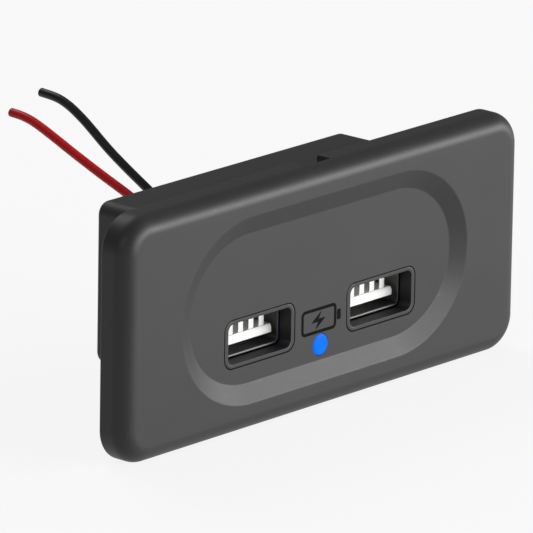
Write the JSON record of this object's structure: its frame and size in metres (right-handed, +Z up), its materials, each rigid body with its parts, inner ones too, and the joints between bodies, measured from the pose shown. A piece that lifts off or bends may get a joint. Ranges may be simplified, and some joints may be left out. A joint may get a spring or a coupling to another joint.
{
  "type": "car usb charging port",
  "caption": "Flush-mount vehicle charging panel: a rounded black face with an oblong recess, USB-A receptacles, a blue light, a rear housing and short supply wires.",
  "frame": {"origin": "middle of the flange's back plane, which seats on the trim round the cut-out", "axes": "+Y runs back into the trim, away from the user; +X is to the right and +Z is up as the user sees the panel"},
  "size_m": [0.0814, 0.0468, 0.0387],
  "materials": {
    "panel_plastic": "satin black moulded plastic",
    "housing_plastic": "matt black moulded plastic",
    "collar_plastic": "satin black moulded plastic",
    "receptacle_steel": "nickel-plated pressed steel",
    "tongue_plastic": "white moulded plastic",
    "contact_plating": "bright plated copper alloy",
    "light_pipe_blue": "clear plastic, lit blue",
    "light_chip_resin": "yellowish resin",
    "board_laminate": "green solder resist on glass-fibre laminate",
    "ferrite": "matt dark ferrite",
    "copper_wire": "enamelled copper wire",
    "capacitor_can": "plain drawn can",
    "package_resin": "matt black moulded resin",
    "grommet_rubber": "matt black rubber",
    "wire_red": "red insulation, slight sheen",
    "wire_black": "black insulation, slight sheen",
    "screw_steel": "plated steel"
  },
  "bodies": {
    "root": {"front_panel": "panel_plastic", "rear_housing": "housing_plastic", "port_collar_left": "collar_plastic", "port_collar_right": "collar_plastic", "usb_shell_left": "receptacle_steel", "usb_shell_right": "receptacle_steel", "usb_insulator_left": "tongue_plastic", "usb_insulator_right": "tongue_plastic", "usb_contact_left_1": "contact_plating", "usb_contact_left_2": "contact_plating", "usb_contact_left_3": "contact_plating", "usb_contact_left_4": "contact_plating", "usb_contact_right_1": "contact_plating", "usb_contact_right_2": "contact_plating", "usb_contact_right_3": "contact_plating", "usb_contact_right_4": "contact_plating", "light_pipe": "light_pipe_blue", "light_chip": "light_chip_resin", "circuit_board": "board_laminate", "inductor_core": "ferrite", "inductor_winding": "copper_wire", "input_capacitor": "capacitor_can", "output_capacitor_left": "capacitor_can", "output_capacitor_right": "capacitor_can", "converter_chip": "package_resin", "port_controller_left": "package_resin", "port_controller_right": "package_resin", "rectifier_diode": "package_resin", "input_fuse": "package_resin", "wire_grommet": "grommet_rubber", "red_wire": "wire_red", "black_wire": "wire_black", "housing_screw_left": "screw_steel", "housing_screw_right": "screw_steel"}
  },
  "joints": []
}
